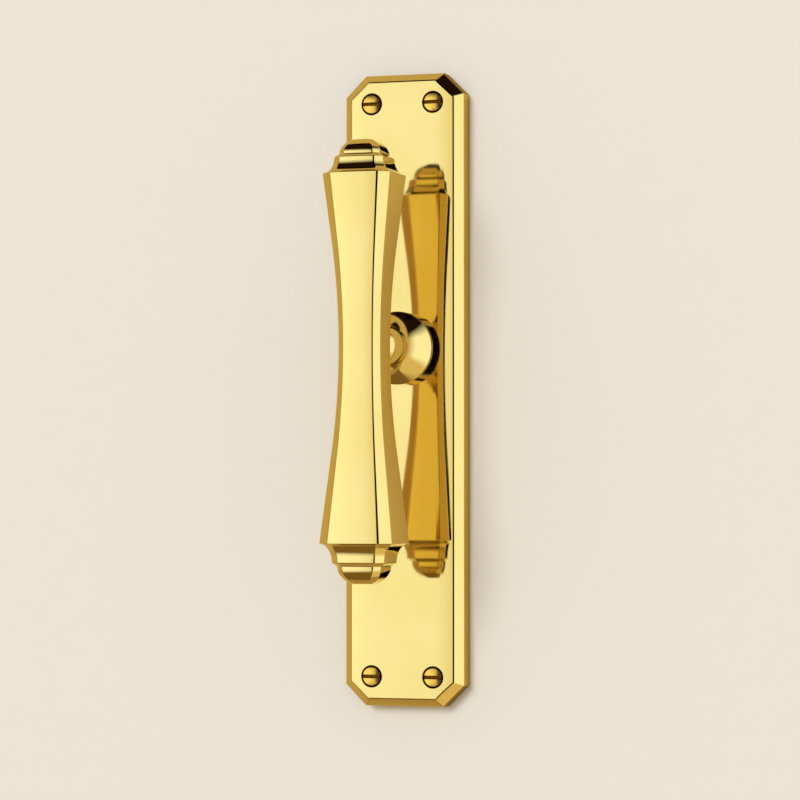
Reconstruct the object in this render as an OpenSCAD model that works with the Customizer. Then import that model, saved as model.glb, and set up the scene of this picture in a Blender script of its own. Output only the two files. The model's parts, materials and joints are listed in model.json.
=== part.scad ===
// Cremone bolt on a long plate: a turned neck carries a waisted bar grip, and a pinion behind the plate
// drives two racks in opposite directions. Each rack has a pin that stands out of the back and moves a rod.
// Frame: X across the plate, +Y into the sash, Z up. The origin is the plate's centre on its back face.

/* [Plate] */
// Height of the plate
plate_h = 240; // [220:1:280]
// Width of the plate
plate_w = 47.3; // [46:0.1:60]
// Leg of the chamfer at each corner of the plate
plate_corner = 8.1; // [6.5:0.1:10]
// Height of the straight edge below the bevel
plate_edge = 6.4; // [5.5:0.1:8]
// Width of the bevel along the long sides
side_bevel_w = 3.2; // [2.4:0.1:3.6]
// Depth of the bevel along the long sides and corners
side_bevel_h = 3.3; // [2.6:0.1:4]
// Width of the bevel at the top and bottom ends
end_bevel_w = 3.0; // [2.4:0.1:3.6]
// Half width of the flat middle of the front
flat_half = 14; // [8:0.5:16]
// Radius of the soft roll between the flat middle and each bevel
roll_r = 37.6; // [30:0.1:80]
// Thickness of the front wall at the middle
plate_wall = 2.6; // [2.2:0.1:3]
// Width of the rim that meets the sash
plate_rim = 4.1; // [3.6:0.1:4.6]

/* [Plate screws] */
// Distance between the screws across the plate
screw_span_x = 24.5; // [22:0.5:26]
// Distance between the screws along the plate
screw_span_z = 217.4; // [200:0.2:219]
// Diameter of the raised countersunk head
screw_head_d = 7.2; // [6.8:0.1:8.4]
// Height of the raised part of the head
screw_raise = 0.6; // [0.4:0.1:1.2]
// Diameter of the plain shank
screw_shank_d = 4.2; // [3.6:0.1:4.8]
// Core diameter of the threaded end
screw_core_d = 3.2; // [2.6:0.1:3.4]
// Length of the threaded end behind the plate
screw_reach = 24; // [16:1:40]
// Length of the screw's point
screw_point = 5; // [3:0.5:8]
// Width of the driver slot
screw_slot_w = 1.4; // [0.8:0.1:1.6]
// Depth of the driver slot
screw_slot_depth = 1.2; // [0.8:0.1:1.8]
// Diameter of the post round each screw
screw_post_d = 11; // [10:0.2:12]

/* [Neck] */
// Height of the turning axis above the plate's centre
axis_z = 15.3; // [0:0.1:30]
// Diameter of the fixed collar on the plate
collar_d = 27.6; // [26.6:0.1:30]
// Height of the collar above the plate
collar_h = 5.2; // [4:0.1:7]
// Depth of the round seat cut into the front for the collar
collar_seat = 0.6; // [0.4:0.05:0.8]
// Wall of the collar's spigot round the bush
spigot_wall = 1.5; // [1.2:0.1:2]
// Height of the straight rim round the neck's foot
foot_rim = 1.2; // [0.8:0.1:2]
// Diameter of the neck at its narrowest
neck_waist_d = 13.6; // [12:0.1:15]
// Height above the plate at which the waist meets the foot's hollow cone
neck_waist_e = 14; // [12:0.1:16]
// Length of the plain waist
neck_waist_l = 4; // [2:0.1:6]
// Diameter of the ball above the waist
neck_ball_d = 17.4; // [16:0.1:18.4]
// Height of the ball's middle above the plate
neck_ball_e = 24.5; // [23:0.1:26]
// Diameter of the short stem between the ball and the grip
neck_stem_d = 11; // [10.8:0.1:11.2]
// Diameter of the journal that turns in the bush
journal_d = 16; // [15:0.1:16.4]
// Wall of the bush
bush_wall = 1.4; // [1:0.1:1.6]

/* [Grip] */
// Distance from the plate's front to the grip's centre line
grip_e = 44.5; // [40:0.5:55]
// Width across the flats at the waist
waist_w = 16.2; // [15:0.1:20]
// How far the waist lies below the turning axis
waist_drop = 1.4; // [0:0.1:4]
// Half the length of the curved waist
waist_run = 38.7; // [25:0.1:45]
// Slope of each side beyond the curve, as width per length
flare_ratio = 0.115; // [0.08:0.005:0.14]
// Chamfer leg of the section as a share of its half width
corner_share = 0.305; // [0.2:0.005:0.4]
// Length from the axis to the upper shoulder
upper_arm = 61.8; // [55:0.1:80]
// Length from the axis to the lower shoulder
lower_arm = 73.1; // [55:0.1:80]
// Height of the upper finial
upper_finial_h = 12.7; // [10:0.1:16]
// Height of the lower finial
lower_finial_h = 14.7; // [10:0.1:18]
// Diameter of the neck's tenon in the grip
tenon_d = 10; // [9:0.1:10.6]
// Length of the tenon
tenon_l = 5.5; // [4:0.1:7]
// Thread diameter of the screw that holds the grip
grip_screw_d = 4; // [3:0.1:4.4]
// How far that screw goes past the tenon
grip_screw_bite = 4; // [2:0.1:5]
// Height of that screw's head
grip_screw_head = 3.4; // [2.5:0.1:4]

/* [Spindle] */
// Width of the square spindle
spindle_w = 7; // [6.6:0.1:7.4]
// Depth of its socket in the neck, measured from the plate's front
socket_e = 10; // [8:0.1:12]
// Diameter of the pin across the journal
cross_pin_d = 2.5; // [1.5:0.1:3]
// Thickness of the thrust washer
thrust_t = 0.8; // [0.5:0.1:1.2]
// Height of the conical spring washer
spring_h = 1.0; // [0.8:0.1:1.4]
// Thickness of the spring washer's sheet
spring_t = 0.5; // [0.3:0.1:0.6]
// Thickness of the retaining ring
clip_t = 1.0; // [0.8:0.1:1.4]
// Outer diameter of the washers
washer_d = 24; // [21:0.1:26]
// Depth of the ring's groove in the journal
groove_depth = 0.7; // [0.4:0.1:1]
// Radial width of the retaining ring
clip_w = 2.4; // [2:0.1:3]

/* [Gear] */
// Module of the teeth
gear_module = 1.25; // [1.1:0.05:1.3]
// Number of pinion teeth
pinion_teeth = 16; // [14:1:17]
// Width of the teeth along the axis
gear_face = 4.8; // [4:0.1:6]
// Diameter of the pinion's hub in its bearings
hub_d = 13; // [12:0.1:14]
// Turn of the handle from locked to open, degrees
turn = 90; // [60:5:90]
// Thickness of each rack behind its teeth
rack_back = 4; // [3:0.1:4.6]
// Length of rack on the far side of the mesh
rack_tail = 8; // [7:0.5:10]
// Length of the rack's head that carries the pin
rack_head = 12; // [11:0.5:16]
// How far the head reaches past the centre line
rack_over = 5.5; // [5:0.1:6]
// Diameter of the drive pin's free end
drive_pin_d = 6; // [5:0.1:7]
// Step from the free end to the pin's shoulder
pin_step = 0.25; // [0.15:0.05:0.5]
// Diameter of the drive pin's rivet in the rack
pin_rivet_d = 4; // [3:0.1:4.5]
// How far the drive pin stands behind the case
pin_reach = 9; // [6:0.5:14]

/* [Gear case] */
// Wall of the case and thickness of its cover
case_wall = 1.6; // [1.2:0.1:2]
// Diameter of the columns for the cover screws
column_d = 6; // [5.4:0.1:6.6]
// Diameter of the cover and case screws
small_screw_d = 3; // [2.5:0.1:3.2]
// Head diameter of the cover and case screws
small_head_d = 5.4; // [4.8:0.1:5.8]
// Radius of the ears that hold the case to the plate
ear_r = 4.2; // [3.8:0.1:5]

/* [Fits] */
// Radial clearance of turning fits
running = 0.05; // [0.02:0.01:0.1]
// Clearance of fixed pieces in their seats
seat = 0.03; // [0.02:0.01:0.06]
// Clearance at the sides of sliding pieces
slide = 0.2; // [0.15:0.05:0.3]
// Gap between a turning face and a fixed one
axial = 0.1; // [0.05:0.01:0.2]
// Radial clearance of loose pieces
loose = 0.15; // [0.1:0.05:0.3]
// Backlash between the teeth
backlash = 0.16; // [0.1:0.02:0.3]

/* [Hidden] */
$fn = 64;
// Number of straight steps in a curved outline
steps = 12;
// Overlap that joins or cuts past a face
over = 1;

brass = [0.85, 0.69, 0.33];
raw_brass = [0.74, 0.58, 0.28];
steel = [0.62, 0.63, 0.65];
zinc = [0.70, 0.71, 0.72];
nylon = [0.90, 0.89, 0.84];

// Roll of the plate's front: how far it falls back at a distance x from the middle
function roll_drop(x) = roll_r - sqrt(roll_r * roll_r - pow(max(0, abs(x) - flat_half), 2));
plate_t = plate_edge + side_bevel_h + roll_drop(plate_w / 2 - side_bevel_w);
// Y of a height e above the middle of the plate's front
function y_at(e) = -plate_t - e;
wall_y = y_at(-plate_wall);
seat_y = y_at(-collar_seat);

// Stack behind the front wall
thrust_y = wall_y + thrust_t;
spring_y = thrust_y + axial + spring_h;
clip_y0 = spring_y + seat;
clip_y1 = clip_y0 + clip_t;
// Land of the journal behind the ring's groove
journal_land = 0.6;
journal_y = clip_y1 + seat + journal_land;
case_y = journal_y + 4 * axial;
gear_y0 = case_y + case_wall + slide;
gear_y1 = gear_y0 + gear_face;
cover_y = gear_y1 + slide;
back_y = cover_y + case_wall;

// Neck and its bearing
bush_d = journal_d + 2 * (running + bush_wall);
spigot_d = bush_d + 2 * (seat + spigot_wall);
foot_e = collar_h + axial;
// Angles through which the hollows under the ball and above the foot turn
ball_sweep = 32;
foot_sweep = 14;

// Grip
grip_y = y_at(grip_e);
waist_z = axis_z - waist_drop;
flare_angle = atan(flare_ratio);
waist_bend = waist_run / sin(flare_angle);
// Half width of the section at a distance d from the waist
function half_w(d) = waist_w / 2 + (abs(d) < waist_run
    ? waist_bend - sqrt(waist_bend * waist_bend - d * d)
    : waist_bend * (1 - cos(flare_angle)) + flare_ratio * (abs(d) - waist_run));
upper_d = upper_arm + waist_drop;
lower_d = lower_arm - waist_drop;
// Distance of the chamfer faces from the centre line as a share of the half width
diagonal_share = (2 - corner_share) / sqrt(2);
// Finial points: width as a share of the shoulder, and level as a share of the finial's height
cove_top = [0.72, 0.47];
dome_foot = [0.60, 0.56];
dome_top = [0.25, 1];
// Angle through which the dome's oval turns
dome_turn = 68;
tenon_y = grip_y + waist_w / 2 - tenon_l;

// Gear
pressure_angle = 20;
pitch_r = gear_module * pinion_teeth / 2;
base_r = pitch_r * cos(pressure_angle);
pinion_add = 0.9 * gear_module;
rack_add = 0.8 * gear_module;
tooth_floor = 0.25 * gear_module;
tip_r = pitch_r + pinion_add;
root_r = pitch_r - rack_add - tooth_floor;
tooth_pitch = PI * gear_module;
travel = pitch_r * turn * PI / 180;
rack_tip_x = pitch_r - rack_add;
rack_root_x = pitch_r + pinion_add + tooth_floor;
rack_out_x = rack_root_x + rack_back;
// Gap between the rack's head and the pinion when the handle is open
head_gap = 1;
head_z0 = tip_r + head_gap + travel;
head_z1 = head_z0 + rack_head;
pin_z = (head_z0 + head_z1) / 2;
shoulder_r = drive_pin_d / 2 + pin_step;

// Gear case
cave_x = rack_out_x + slide;
cave_z = head_z1 + slide;
case_x = cave_x + case_wall;
case_z = cave_z + case_wall;
// Each column is let into the two walls beside it
column_sink = case_wall / 3;
column_x = cave_x + column_sink - column_d / 2;
column_z = cave_z + column_sink - column_d / 2;
ear_z = case_z + ear_r;
ear_y = case_y + 1.5 * case_wall;
small_head_h = (small_head_d - small_screw_d) / 2;

// Fixing screws
screw_x = screw_span_x / 2;
screw_z = screw_span_z / 2;
screw_y = y_at(-roll_drop(screw_x));
// Gap round a screw head in its countersink
sink_gap = 0.65;

// Outline of a rectangle with chamfered corners, given its half sizes and chamfer leg
function chamfered(a, b, leg) = [
    [a, b - leg], [a - leg, b], [leg - a, b], [-a, b - leg],
    [-a, leg - b], [leg - a, -b], [a - leg, -b], [a, leg - b]
];
function polar(r, angle) = [r * cos(angle), r * sin(angle)];
function reverse(list) = [for (i = [len(list) - 1 : -1 : 0]) list[i]];
// Involute function of a pressure angle, in degrees
function inv(angle) = tan(angle) * 180 / PI - angle;
// Half angle of a pinion tooth at radius r
function half_tooth(r) = 90 / pinion_teeth - backlash / 2 / pitch_r * 180 / PI
    + inv(pressure_angle) - inv(acos(min(1, base_r / r)));

// A slab between two Y values, from an outline drawn as the front sees it
module slab(y0, y1) {
    translate([0, y1, 0]) rotate([90, 0, 0]) linear_extrude(y1 - y0) children();
}

// A round bar along Y
module bar(r, y0, y1, x = 0, z = 0) {
    translate([x, y0, z]) rotate([-90, 0, 0]) cylinder(r = r, h = y1 - y0);
}

// A turned piece about the handle's axis, from a profile of [radius, y]
module turned() {
    translate([0, 0, axis_z]) rotate([-90, 0, 0]) rotate_extrude() children();
}

// Pieces drawn round the handle's axis
module on_axis() {
    translate([0, 0, axis_z]) children();
}

// The four places of the fixing screws
module at_screws() {
    for (x = [-screw_x, screw_x])
        for (z = [-screw_z, screw_z])
            translate([x, 0, z]) children();
}

// Wedge that cuts one bevel: the edge lies at distance d along the direction of angle
module bevel_cut(angle, d, w, h) {
    rotate([0, -angle, 0])
        linear_extrude(2 * plate_h, center = true)
            polygon([[d, -plate_edge], [d - 2 * w, -plate_edge - 2 * h],
                [d + w, -plate_edge - 2 * h], [d + w, -plate_edge]]);
}

// Section of the plate before bevelling, drawn from above
module plate_section() {
    half = plate_w / 2;
    front = [for (i = [0 : steps]) let (x = flat_half + (half - flat_half) * i / steps)
        [x, y_at(-roll_drop(x))]];
    polygon(concat(front, [[half, 0], [-half, 0]], [for (p = reverse(front)) [-p.x, p.y]]));
}

module plate_blank() {
    corner_d = (plate_w / 2 + plate_h / 2 - plate_corner) / sqrt(2);
    end_h = plate_t - plate_edge;
    difference() {
        intersection() {
            slab(-plate_t - over, over) polygon(chamfered(plate_w / 2, plate_h / 2, plate_corner));
            linear_extrude(plate_h + 2 * over, center = true) plate_section();
        }
        for (side = [0, 180]) {
            bevel_cut(side, plate_w / 2, side_bevel_w, side_bevel_h);
            bevel_cut(side + 90, plate_h / 2, end_bevel_w, end_h);
        }
        for (corner = [45 : 90 : 315])
            bevel_cut(corner, corner_d, side_bevel_w, side_bevel_h);
    }
}

module backplate() {
    hollow_leg = plate_corner - plate_rim * (2 - sqrt(2));
    color(brass)
    difference() {
        union() {
            difference() {
                plate_blank();
                slab(wall_y, over)
                    polygon(chamfered(plate_w / 2 - plate_rim, plate_h / 2 - plate_rim, hollow_leg));
            }
            at_screws() bar(screw_post_d / 2, wall_y - over / 2, 0);
            on_axis() for (z = [-ear_z, ear_z]) bar(ear_r, wall_y - over / 2, case_y, 0, z);
        }
        turned() polygon([[0, -plate_t - over], [collar_d / 2 + seat, -plate_t - over],
            [collar_d / 2 + seat, seat_y], [spigot_d / 2 + seat, seat_y],
            [spigot_d / 2 + seat, wall_y + over], [0, wall_y + over]]);
        at_screws() screw_sink();
        on_axis() for (z = [-ear_z, ear_z])
            bar(small_screw_d / 2 + seat, wall_y, case_y + over, 0, z);
    }
}

// Clearance hole and countersink for one fixing screw
module screw_sink() {
    hole_r = screw_shank_d / 2 + slide;
    sink_r = screw_head_d / 2 + sink_gap;
    rotate([-90, 0, 0]) rotate_extrude()
        polygon([[0, screw_y - over], [sink_r + over, screw_y - over], [sink_r, screw_y],
            [hole_r, screw_y + sink_r - hole_r], [hole_r, over], [0, over]]);
}

module plate_screws() {
    head_r = screw_head_d / 2;
    shank_r = screw_shank_d / 2;
    cap_r = (head_r * head_r + screw_raise * screw_raise) / (2 * screw_raise);
    cap_turn = asin(head_r / cap_r);
    color(brass)
    at_screws() difference() {
        rotate([-90, 0, 0]) rotate_extrude()
            polygon(concat(
                [for (i = [0 : steps]) let (t = cap_turn * i / steps)
                    [cap_r * sin(t), screw_y - screw_raise + cap_r * (1 - cos(t))]],
                [[shank_r, screw_y + head_r - shank_r], [shank_r, 0],
                    [screw_core_d / 2, 0], [screw_core_d / 2, screw_reach - screw_point],
                    [0, screw_reach]]));
        translate([-screw_head_d, screw_y - screw_raise - over, -screw_slot_w / 2])
            cube([2 * screw_head_d, over + screw_slot_depth, screw_slot_w]);
    }
}

module bearing_collar() {
    color(brass)
    turned() polygon([[bush_d / 2 + seat, wall_y], [spigot_d / 2, wall_y], [spigot_d / 2, seat_y],
        [collar_d / 2, seat_y], [collar_d / 2, y_at(collar_h)], [bush_d / 2 + seat, y_at(collar_h)]]);
}

module neck_bush() {
    color(raw_brass)
    on_axis() difference() {
        bar(bush_d / 2, y_at(collar_h), wall_y);
        bar(journal_d / 2 + running, y_at(collar_h) - over, wall_y + over);
    }
}

module thrust_washer() {
    color(nylon)
    on_axis() difference() {
        bar(washer_d / 2, wall_y, thrust_y);
        bar(journal_d / 2 + loose, wall_y - over, thrust_y + over);
    }
}

module spring_washer() {
    inner_r = journal_d / 2 + loose;
    color(steel)
    turned() polygon([[inner_r, spring_y - spring_t], [washer_d / 2, spring_y - spring_h],
        [washer_d / 2, spring_y - spring_h + spring_t], [inner_r, spring_y]]);
}

module retaining_ring() {
    inner_r = journal_d / 2 - groove_depth + seat;
    outer_r = inner_r + clip_w;
    mouth = 60;
    eye_lug_r = 0.55 * clip_w;
    eye_r = 0.45 * eye_lug_r;
    // The two eyes lie beside the ring's mouth
    eyes = [for (side = [-1, 1]) polar(outer_r - eye_lug_r / 4, -90 + side * mouth / 2)];
    color(steel)
    on_axis() difference() {
        union() {
            difference() {
                bar(outer_r, clip_y0, clip_y1);
                bar(inner_r, clip_y0 - over, clip_y1 + over);
                slab(clip_y0 - over, clip_y1 + over)
                    polygon([[0, 0], polar(2 * outer_r, -90 - mouth / 2),
                        polar(2 * outer_r, -90 + mouth / 2)]);
            }
            for (eye = eyes) bar(eye_lug_r, clip_y0, clip_y1, eye.x, eye.y);
        }
        for (eye = eyes) bar(eye_r, clip_y0 - over, clip_y1 + over, eye.x, eye.y);
    }
}

// Point at a share of the hollow arc that turns by an angle on its way from a to b
function hollow(a, b, turn, share) =
    let (d = b - a, c = (a + b) / 2 + [d[1], -d[0]] / (2 * tan(turn / 2)), v = a - c, t = -turn * share)
        c + [v[0] * cos(t) - v[1] * sin(t), v[0] * sin(t) + v[1] * cos(t)];

module neck() {
    waist_r = neck_waist_d / 2;
    rim_e = foot_e + foot_rim;
    ball_r = neck_ball_d / 2;
    stem_r = neck_stem_d / 2;
    stem_y = grip_y + half_w(stem_r + waist_drop) + seat;
    socket_y = y_at(socket_e);
    groove_r = journal_d / 2 - groove_depth;
    color(brass)
    difference() {
        union() {
            turned() polygon(concat(
                [[0, stem_y], [stem_r, stem_y]],
                [for (i = [steps : -1 : 0]) let (t = acos(stem_r / ball_r) * i / steps)
                    [ball_r * cos(t), y_at(neck_ball_e + ball_r * sin(t))]],
                [for (i = [1 : steps]) hollow([ball_r, y_at(neck_ball_e)],
                    [waist_r, y_at(neck_waist_e + neck_waist_l)], ball_sweep, i / steps)],
                [for (i = [0 : steps]) hollow([waist_r, y_at(neck_waist_e)],
                    [collar_d / 2, y_at(rim_e)], foot_sweep, i / steps)],
                [[collar_d / 2, y_at(foot_e)], [journal_d / 2, y_at(foot_e)],
                    [journal_d / 2, clip_y0 - seat], [groove_r, clip_y0 - seat],
                    [groove_r, clip_y1 + seat], [journal_d / 2, clip_y1 + seat],
                    [journal_d / 2, journal_y], [0, journal_y]]));
            on_axis() bar(tenon_d / 2, tenon_y, stem_y + over);
        }
        slab(socket_y, journal_y + over)
            on_axis_plane() square(spindle_w + 2 * seat, center = true);
        on_axis() bar(spindle_w / 2, socket_y - grip_screw_head - seat, socket_y + over);
        on_axis() bar(grip_screw_d / 2 + seat, tenon_y - over, socket_y);
        cross_pin_hole();
    }
}

// Outlines drawn round the handle's axis, as the front sees them
module on_axis_plane() {
    translate([0, axis_z]) children();
}

cross_pin_y = (wall_y + y_at(collar_h)) / 2;

module cross_pin_hole() {
    translate([0, cross_pin_y, axis_z]) rotate([0, 90, 0])
        cylinder(d = cross_pin_d + 2 * seat, h = 2 * journal_d, center = true);
}

module cross_pin() {
    color(steel)
    translate([0, cross_pin_y, axis_z]) rotate([0, 90, 0])
        cylinder(d = cross_pin_d, h = journal_d - 4 * loose, center = true);
}

module spindle() {
    color(steel)
    difference() {
        slab(y_at(socket_e) + seat, back_y - axial)
            on_axis_plane() square(spindle_w, center = true);
        cross_pin_hole();
    }
}

module grip_screw() {
    socket_y = y_at(socket_e);
    key_w = 0.75 * grip_screw_d;
    color(steel)
    on_axis() difference() {
        union() {
            bar(spindle_w / 2 - loose, socket_y - grip_screw_head, socket_y);
            bar(grip_screw_d / 2, tenon_y - grip_screw_bite, socket_y - grip_screw_head / 2);
        }
        translate([0, socket_y - grip_screw_head / 2, 0]) rotate([-90, 0, 0])
            cylinder(d = key_w * 2 / sqrt(3), h = grip_screw_head, $fn = 6);
    }
}

// One side of a finial's outline, a cove, a ledge and a dome: [half width, height above the shoulder]
function finial_side(a, h) = concat(
    [for (i = [0 : steps])
        [a * (1 - (1 - cove_top.x) * sin(90 * i / steps)), h * cove_top.y * (1 - cos(90 * i / steps))]],
    [for (i = [0 : steps / 2]) let (t = dome_turn * 2 * i / steps)
        [a * (dome_foot.x - (dome_foot.x - dome_top.x) * (1 - cos(t)) / (1 - cos(dome_turn))),
            h * (dome_foot.y + (dome_top.y - dome_foot.y) * sin(t) / sin(dome_turn))]]);

// One side of the grip's outline from the lower end to the upper, widened by a share
function grip_side(share) = concat(
    [for (p = reverse(finial_side(half_w(lower_d), lower_finial_h))) [share * p.x, -lower_d - p.y]],
    [for (i = [-steps : steps]) [share * half_w(waist_run * i / steps), waist_run * i / steps]],
    [for (p = finial_side(half_w(upper_d), upper_finial_h)) [share * p.x, upper_d + p.y]]);

// The grip's outline drawn through the bar, both sides
module grip_outline(share) {
    side = grip_side(share);
    polygon(concat(side, [for (p = reverse(side)) [-p.x, p.y]]));
}

module grip() {
    reach = 3 * waist_w;
    color(brass)
    difference() {
        translate([0, grip_y, waist_z]) intersection_for (angle = [0 : 45 : 135])
            rotate([0, 0, angle]) rotate([90, 0, 0]) linear_extrude(reach, center = true)
                grip_outline(angle % 90 == 0 ? 1 : diagonal_share);
        on_axis() bar(tenon_d / 2 + seat, tenon_y - seat, grip_y + waist_w);
        on_axis() bar(grip_screw_d / 2 + seat, tenon_y - grip_screw_bite - over, tenon_y + over);
    }
}

module pinion_outline() {
    flank = 4;
    low_r = max(base_r, root_r);
    polygon([for (t = [0 : pinion_teeth - 1]) each concat(
        [polar(root_r, 360 * t / pinion_teeth - half_tooth(low_r))],
        [for (i = [0 : flank]) let (r = low_r + (tip_r - low_r) * i / flank)
            polar(r, 360 * t / pinion_teeth - half_tooth(r))],
        [for (i = [flank : -1 : 0]) let (r = low_r + (tip_r - low_r) * i / flank)
            polar(r, 360 * t / pinion_teeth + half_tooth(r))],
        [polar(root_r, 360 * t / pinion_teeth + half_tooth(low_r))])]);
}

module pinion() {
    color(steel)
    difference() {
        union() {
            slab(gear_y0, gear_y1) on_axis_plane() pinion_outline();
            on_axis() bar(hub_d / 2, case_y + axial, back_y - axial);
        }
        slab(case_y, back_y) on_axis_plane() square(spindle_w + 2 * seat, center = true);
    }
}

// A rack with its teeth towards -X and its head above, about the handle's axis
module rack_outline(phase) {
    half_gap = (tooth_pitch / 2 - backlash) / 2;
    spread = tan(pressure_angle);
    tip_half = half_gap - rack_add * spread;
    root_half = half_gap + (rack_root_x - pitch_r) * spread;
    first = ceil((root_half - rack_tail) / tooth_pitch - 0.5);
    last = floor((travel + rack_tail - root_half) / tooth_pitch - 0.5);
    polygon(concat(
        [[rack_out_x, -rack_tail], [rack_root_x, -rack_tail]],
        [for (i = [first : last]) let (z = (i + 0.5) * tooth_pitch + phase) each [
            [rack_root_x, z - root_half], [rack_tip_x, z - tip_half],
            [rack_tip_x, z + tip_half], [rack_root_x, z + root_half]]],
        [[rack_root_x, head_z0], [-rack_over, head_z0], [-rack_over, head_z1], [rack_out_x, head_z1]]));
}

module rack(phase) {
    difference() {
        slab(gear_y0, gear_y1) rack_outline(phase);
        bar(pin_rivet_d / 2 + seat, gear_y0 - over, gear_y1 + over, 0, pin_z);
    }
}

module drive_pin() {
    bar(pin_rivet_d / 2, gear_y0, gear_y1 + over / 2, 0, pin_z);
    bar(shoulder_r, gear_y1, back_y + axial, 0, pin_z);
    bar(drive_pin_d / 2, back_y, back_y + pin_reach, 0, pin_z);
}

// The lower rack is the same piece turned over, so it meshes on the other side of the pinion
module turned_over() {
    on_axis() rotate([0, 180, 0]) children();
}

module upper_rack() {
    color(steel) on_axis() rack(0);
}

module lower_rack() {
    color(steel) turned_over() rack(pinion_teeth % 2 * tooth_pitch / 2);
}

module upper_drive_pin() {
    color(steel) on_axis() drive_pin();
}

module lower_drive_pin() {
    color(steel) turned_over() drive_pin();
}

// The two corners of the case that the racks never reach
module at_columns() {
    for (side = [-1, 1])
        translate([side * column_x, 0, -side * column_z]) children();
}

module at_ears() {
    for (z = [-ear_z, ear_z])
        translate([0, 0, z]) children();
}

module gear_case() {
    color(zinc)
    on_axis() difference() {
        union() {
            difference() {
                slab(case_y, cover_y) square(2 * [case_x, case_z], center = true);
                slab(case_y + case_wall, cover_y + over) square(2 * [cave_x, cave_z], center = true);
            }
            at_columns() bar(column_d / 2, case_y + case_wall / 2, cover_y);
            at_ears() bar(ear_r, case_y, ear_y);
            slab(case_y, ear_y) for (side = [-1, 1])
                translate([-ear_r, side > 0 ? case_z - case_wall / 2 : -ear_z])
                    square([2 * ear_r, ear_z - case_z + case_wall / 2]);
        }
        bar(hub_d / 2 + running, case_y - over, case_y + case_wall + over);
        at_columns() bar(small_screw_d / 2 + seat, case_y + case_wall / 2, cover_y + over);
        at_ears() bar(small_screw_d / 2 + seat, case_y - over, ear_y + over);
    }
}

// A slot for one drive pin, long enough for its travel
module pin_slot() {
    slab(cover_y - over, back_y + over) {
        translate([0, pin_z]) circle(shoulder_r + slide);
        translate([0, pin_z - travel]) circle(shoulder_r + slide);
        translate([-shoulder_r - slide, pin_z - travel]) square([2 * (shoulder_r + slide), travel]);
    }
}

module case_cover() {
    color(zinc)
    on_axis() difference() {
        slab(cover_y, back_y) square(2 * [case_x, case_z], center = true);
        bar(hub_d / 2 + running, cover_y - over, back_y + over);
        pin_slot();
        rotate([0, 180, 0]) pin_slot();
        at_columns() rotate([-90, 0, 0]) rotate_extrude()
            polygon([[0, cover_y - over], [small_screw_d / 2 + slide, cover_y - over],
                [small_screw_d / 2 + slide, back_y + slide - small_head_h],
                [small_head_d / 2 + slide, back_y], [small_head_d / 2 + slide, back_y + over],
                [0, back_y + over]]);
    }
}

// A small countersunk screw with a cross slot, head towards +Y
module small_screw(y0, y1) {
    head_y = y1 - small_head_h;
    difference() {
        rotate([-90, 0, 0]) rotate_extrude()
            polygon([[0, y0], [small_screw_d / 2, y0], [small_screw_d / 2, head_y],
                [small_head_d / 2, y1], [0, y1]]);
        translate([-small_head_d, y1 - small_head_h / 2, -small_screw_d / 8])
            cube([2 * small_head_d, small_head_h, small_screw_d / 4]);
    }
}

// A small pan-head screw, head towards +Y from its seat
module pan_screw(y0, y1) {
    difference() {
        union() {
            bar(small_screw_d / 2, y0, y1 + small_head_h / 2);
            bar(small_head_d / 2, y1, y1 + small_head_h);
        }
        translate([-small_head_d, y1 + small_head_h / 2, -small_screw_d / 8])
            cube([2 * small_head_d, small_head_h, small_screw_d / 4]);
    }
}

module cover_screws() {
    color(steel) on_axis() at_columns() small_screw(case_y + case_wall, back_y);
}

module case_screws() {
    color(steel) on_axis() at_ears() pan_screw(wall_y + over, ear_y);
}

backplate();
bearing_collar();
neck_bush();
thrust_washer();
plate_screws();
neck();
grip();
grip_screw();
spindle();
cross_pin();
spring_washer();
retaining_ring();
pinion();
gear_case();
case_cover();
case_screws();
cover_screws();
upper_rack();
upper_drive_pin();
lower_rack();
lower_drive_pin();
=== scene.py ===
# %% [markdown]
# # A cremone bolt in polished brass
# A cremone bolt shuts a tall window: a quarter turn of its handle drives one rod up and one rod down.
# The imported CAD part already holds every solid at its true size. This lesson gives it the look of a
# polished casting. Flat CAD facets would show as stripes in a mirror finish, so the five brass pieces
# that the eye meets first are modelled again here, smooth and with softened edges, in the same places.

# %% Load the part
import json
import math

import bmesh
import bpy
from mathutils import Matrix, Vector


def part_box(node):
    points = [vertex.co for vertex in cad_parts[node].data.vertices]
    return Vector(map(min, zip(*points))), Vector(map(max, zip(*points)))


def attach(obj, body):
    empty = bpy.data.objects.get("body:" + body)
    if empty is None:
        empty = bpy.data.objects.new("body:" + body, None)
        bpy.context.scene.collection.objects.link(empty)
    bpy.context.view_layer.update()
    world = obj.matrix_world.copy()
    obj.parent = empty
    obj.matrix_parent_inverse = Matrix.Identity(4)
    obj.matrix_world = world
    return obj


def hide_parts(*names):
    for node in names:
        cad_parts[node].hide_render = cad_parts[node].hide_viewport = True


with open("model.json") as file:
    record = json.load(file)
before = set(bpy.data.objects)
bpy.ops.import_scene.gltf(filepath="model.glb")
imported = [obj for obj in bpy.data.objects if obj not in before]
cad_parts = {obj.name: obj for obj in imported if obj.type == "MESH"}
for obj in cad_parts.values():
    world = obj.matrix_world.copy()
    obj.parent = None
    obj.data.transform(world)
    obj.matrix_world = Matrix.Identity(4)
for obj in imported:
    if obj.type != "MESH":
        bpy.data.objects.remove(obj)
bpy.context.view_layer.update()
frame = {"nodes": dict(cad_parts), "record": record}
MM = 0.001

# %% [markdown]
# ## Sizes from the part
# Every place below comes from the boxes of the CAD nodes, so the new pieces follow the part if it is
# packed again. Boxes are in metres. All lengths are turned to millimetres here, because that is how a
# brass founder thinks of them, and back to metres when a mesh gets its place.

# %% Read the main places
def box_mm(node):
    low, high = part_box(node)
    return low / MM, high / MM


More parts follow.
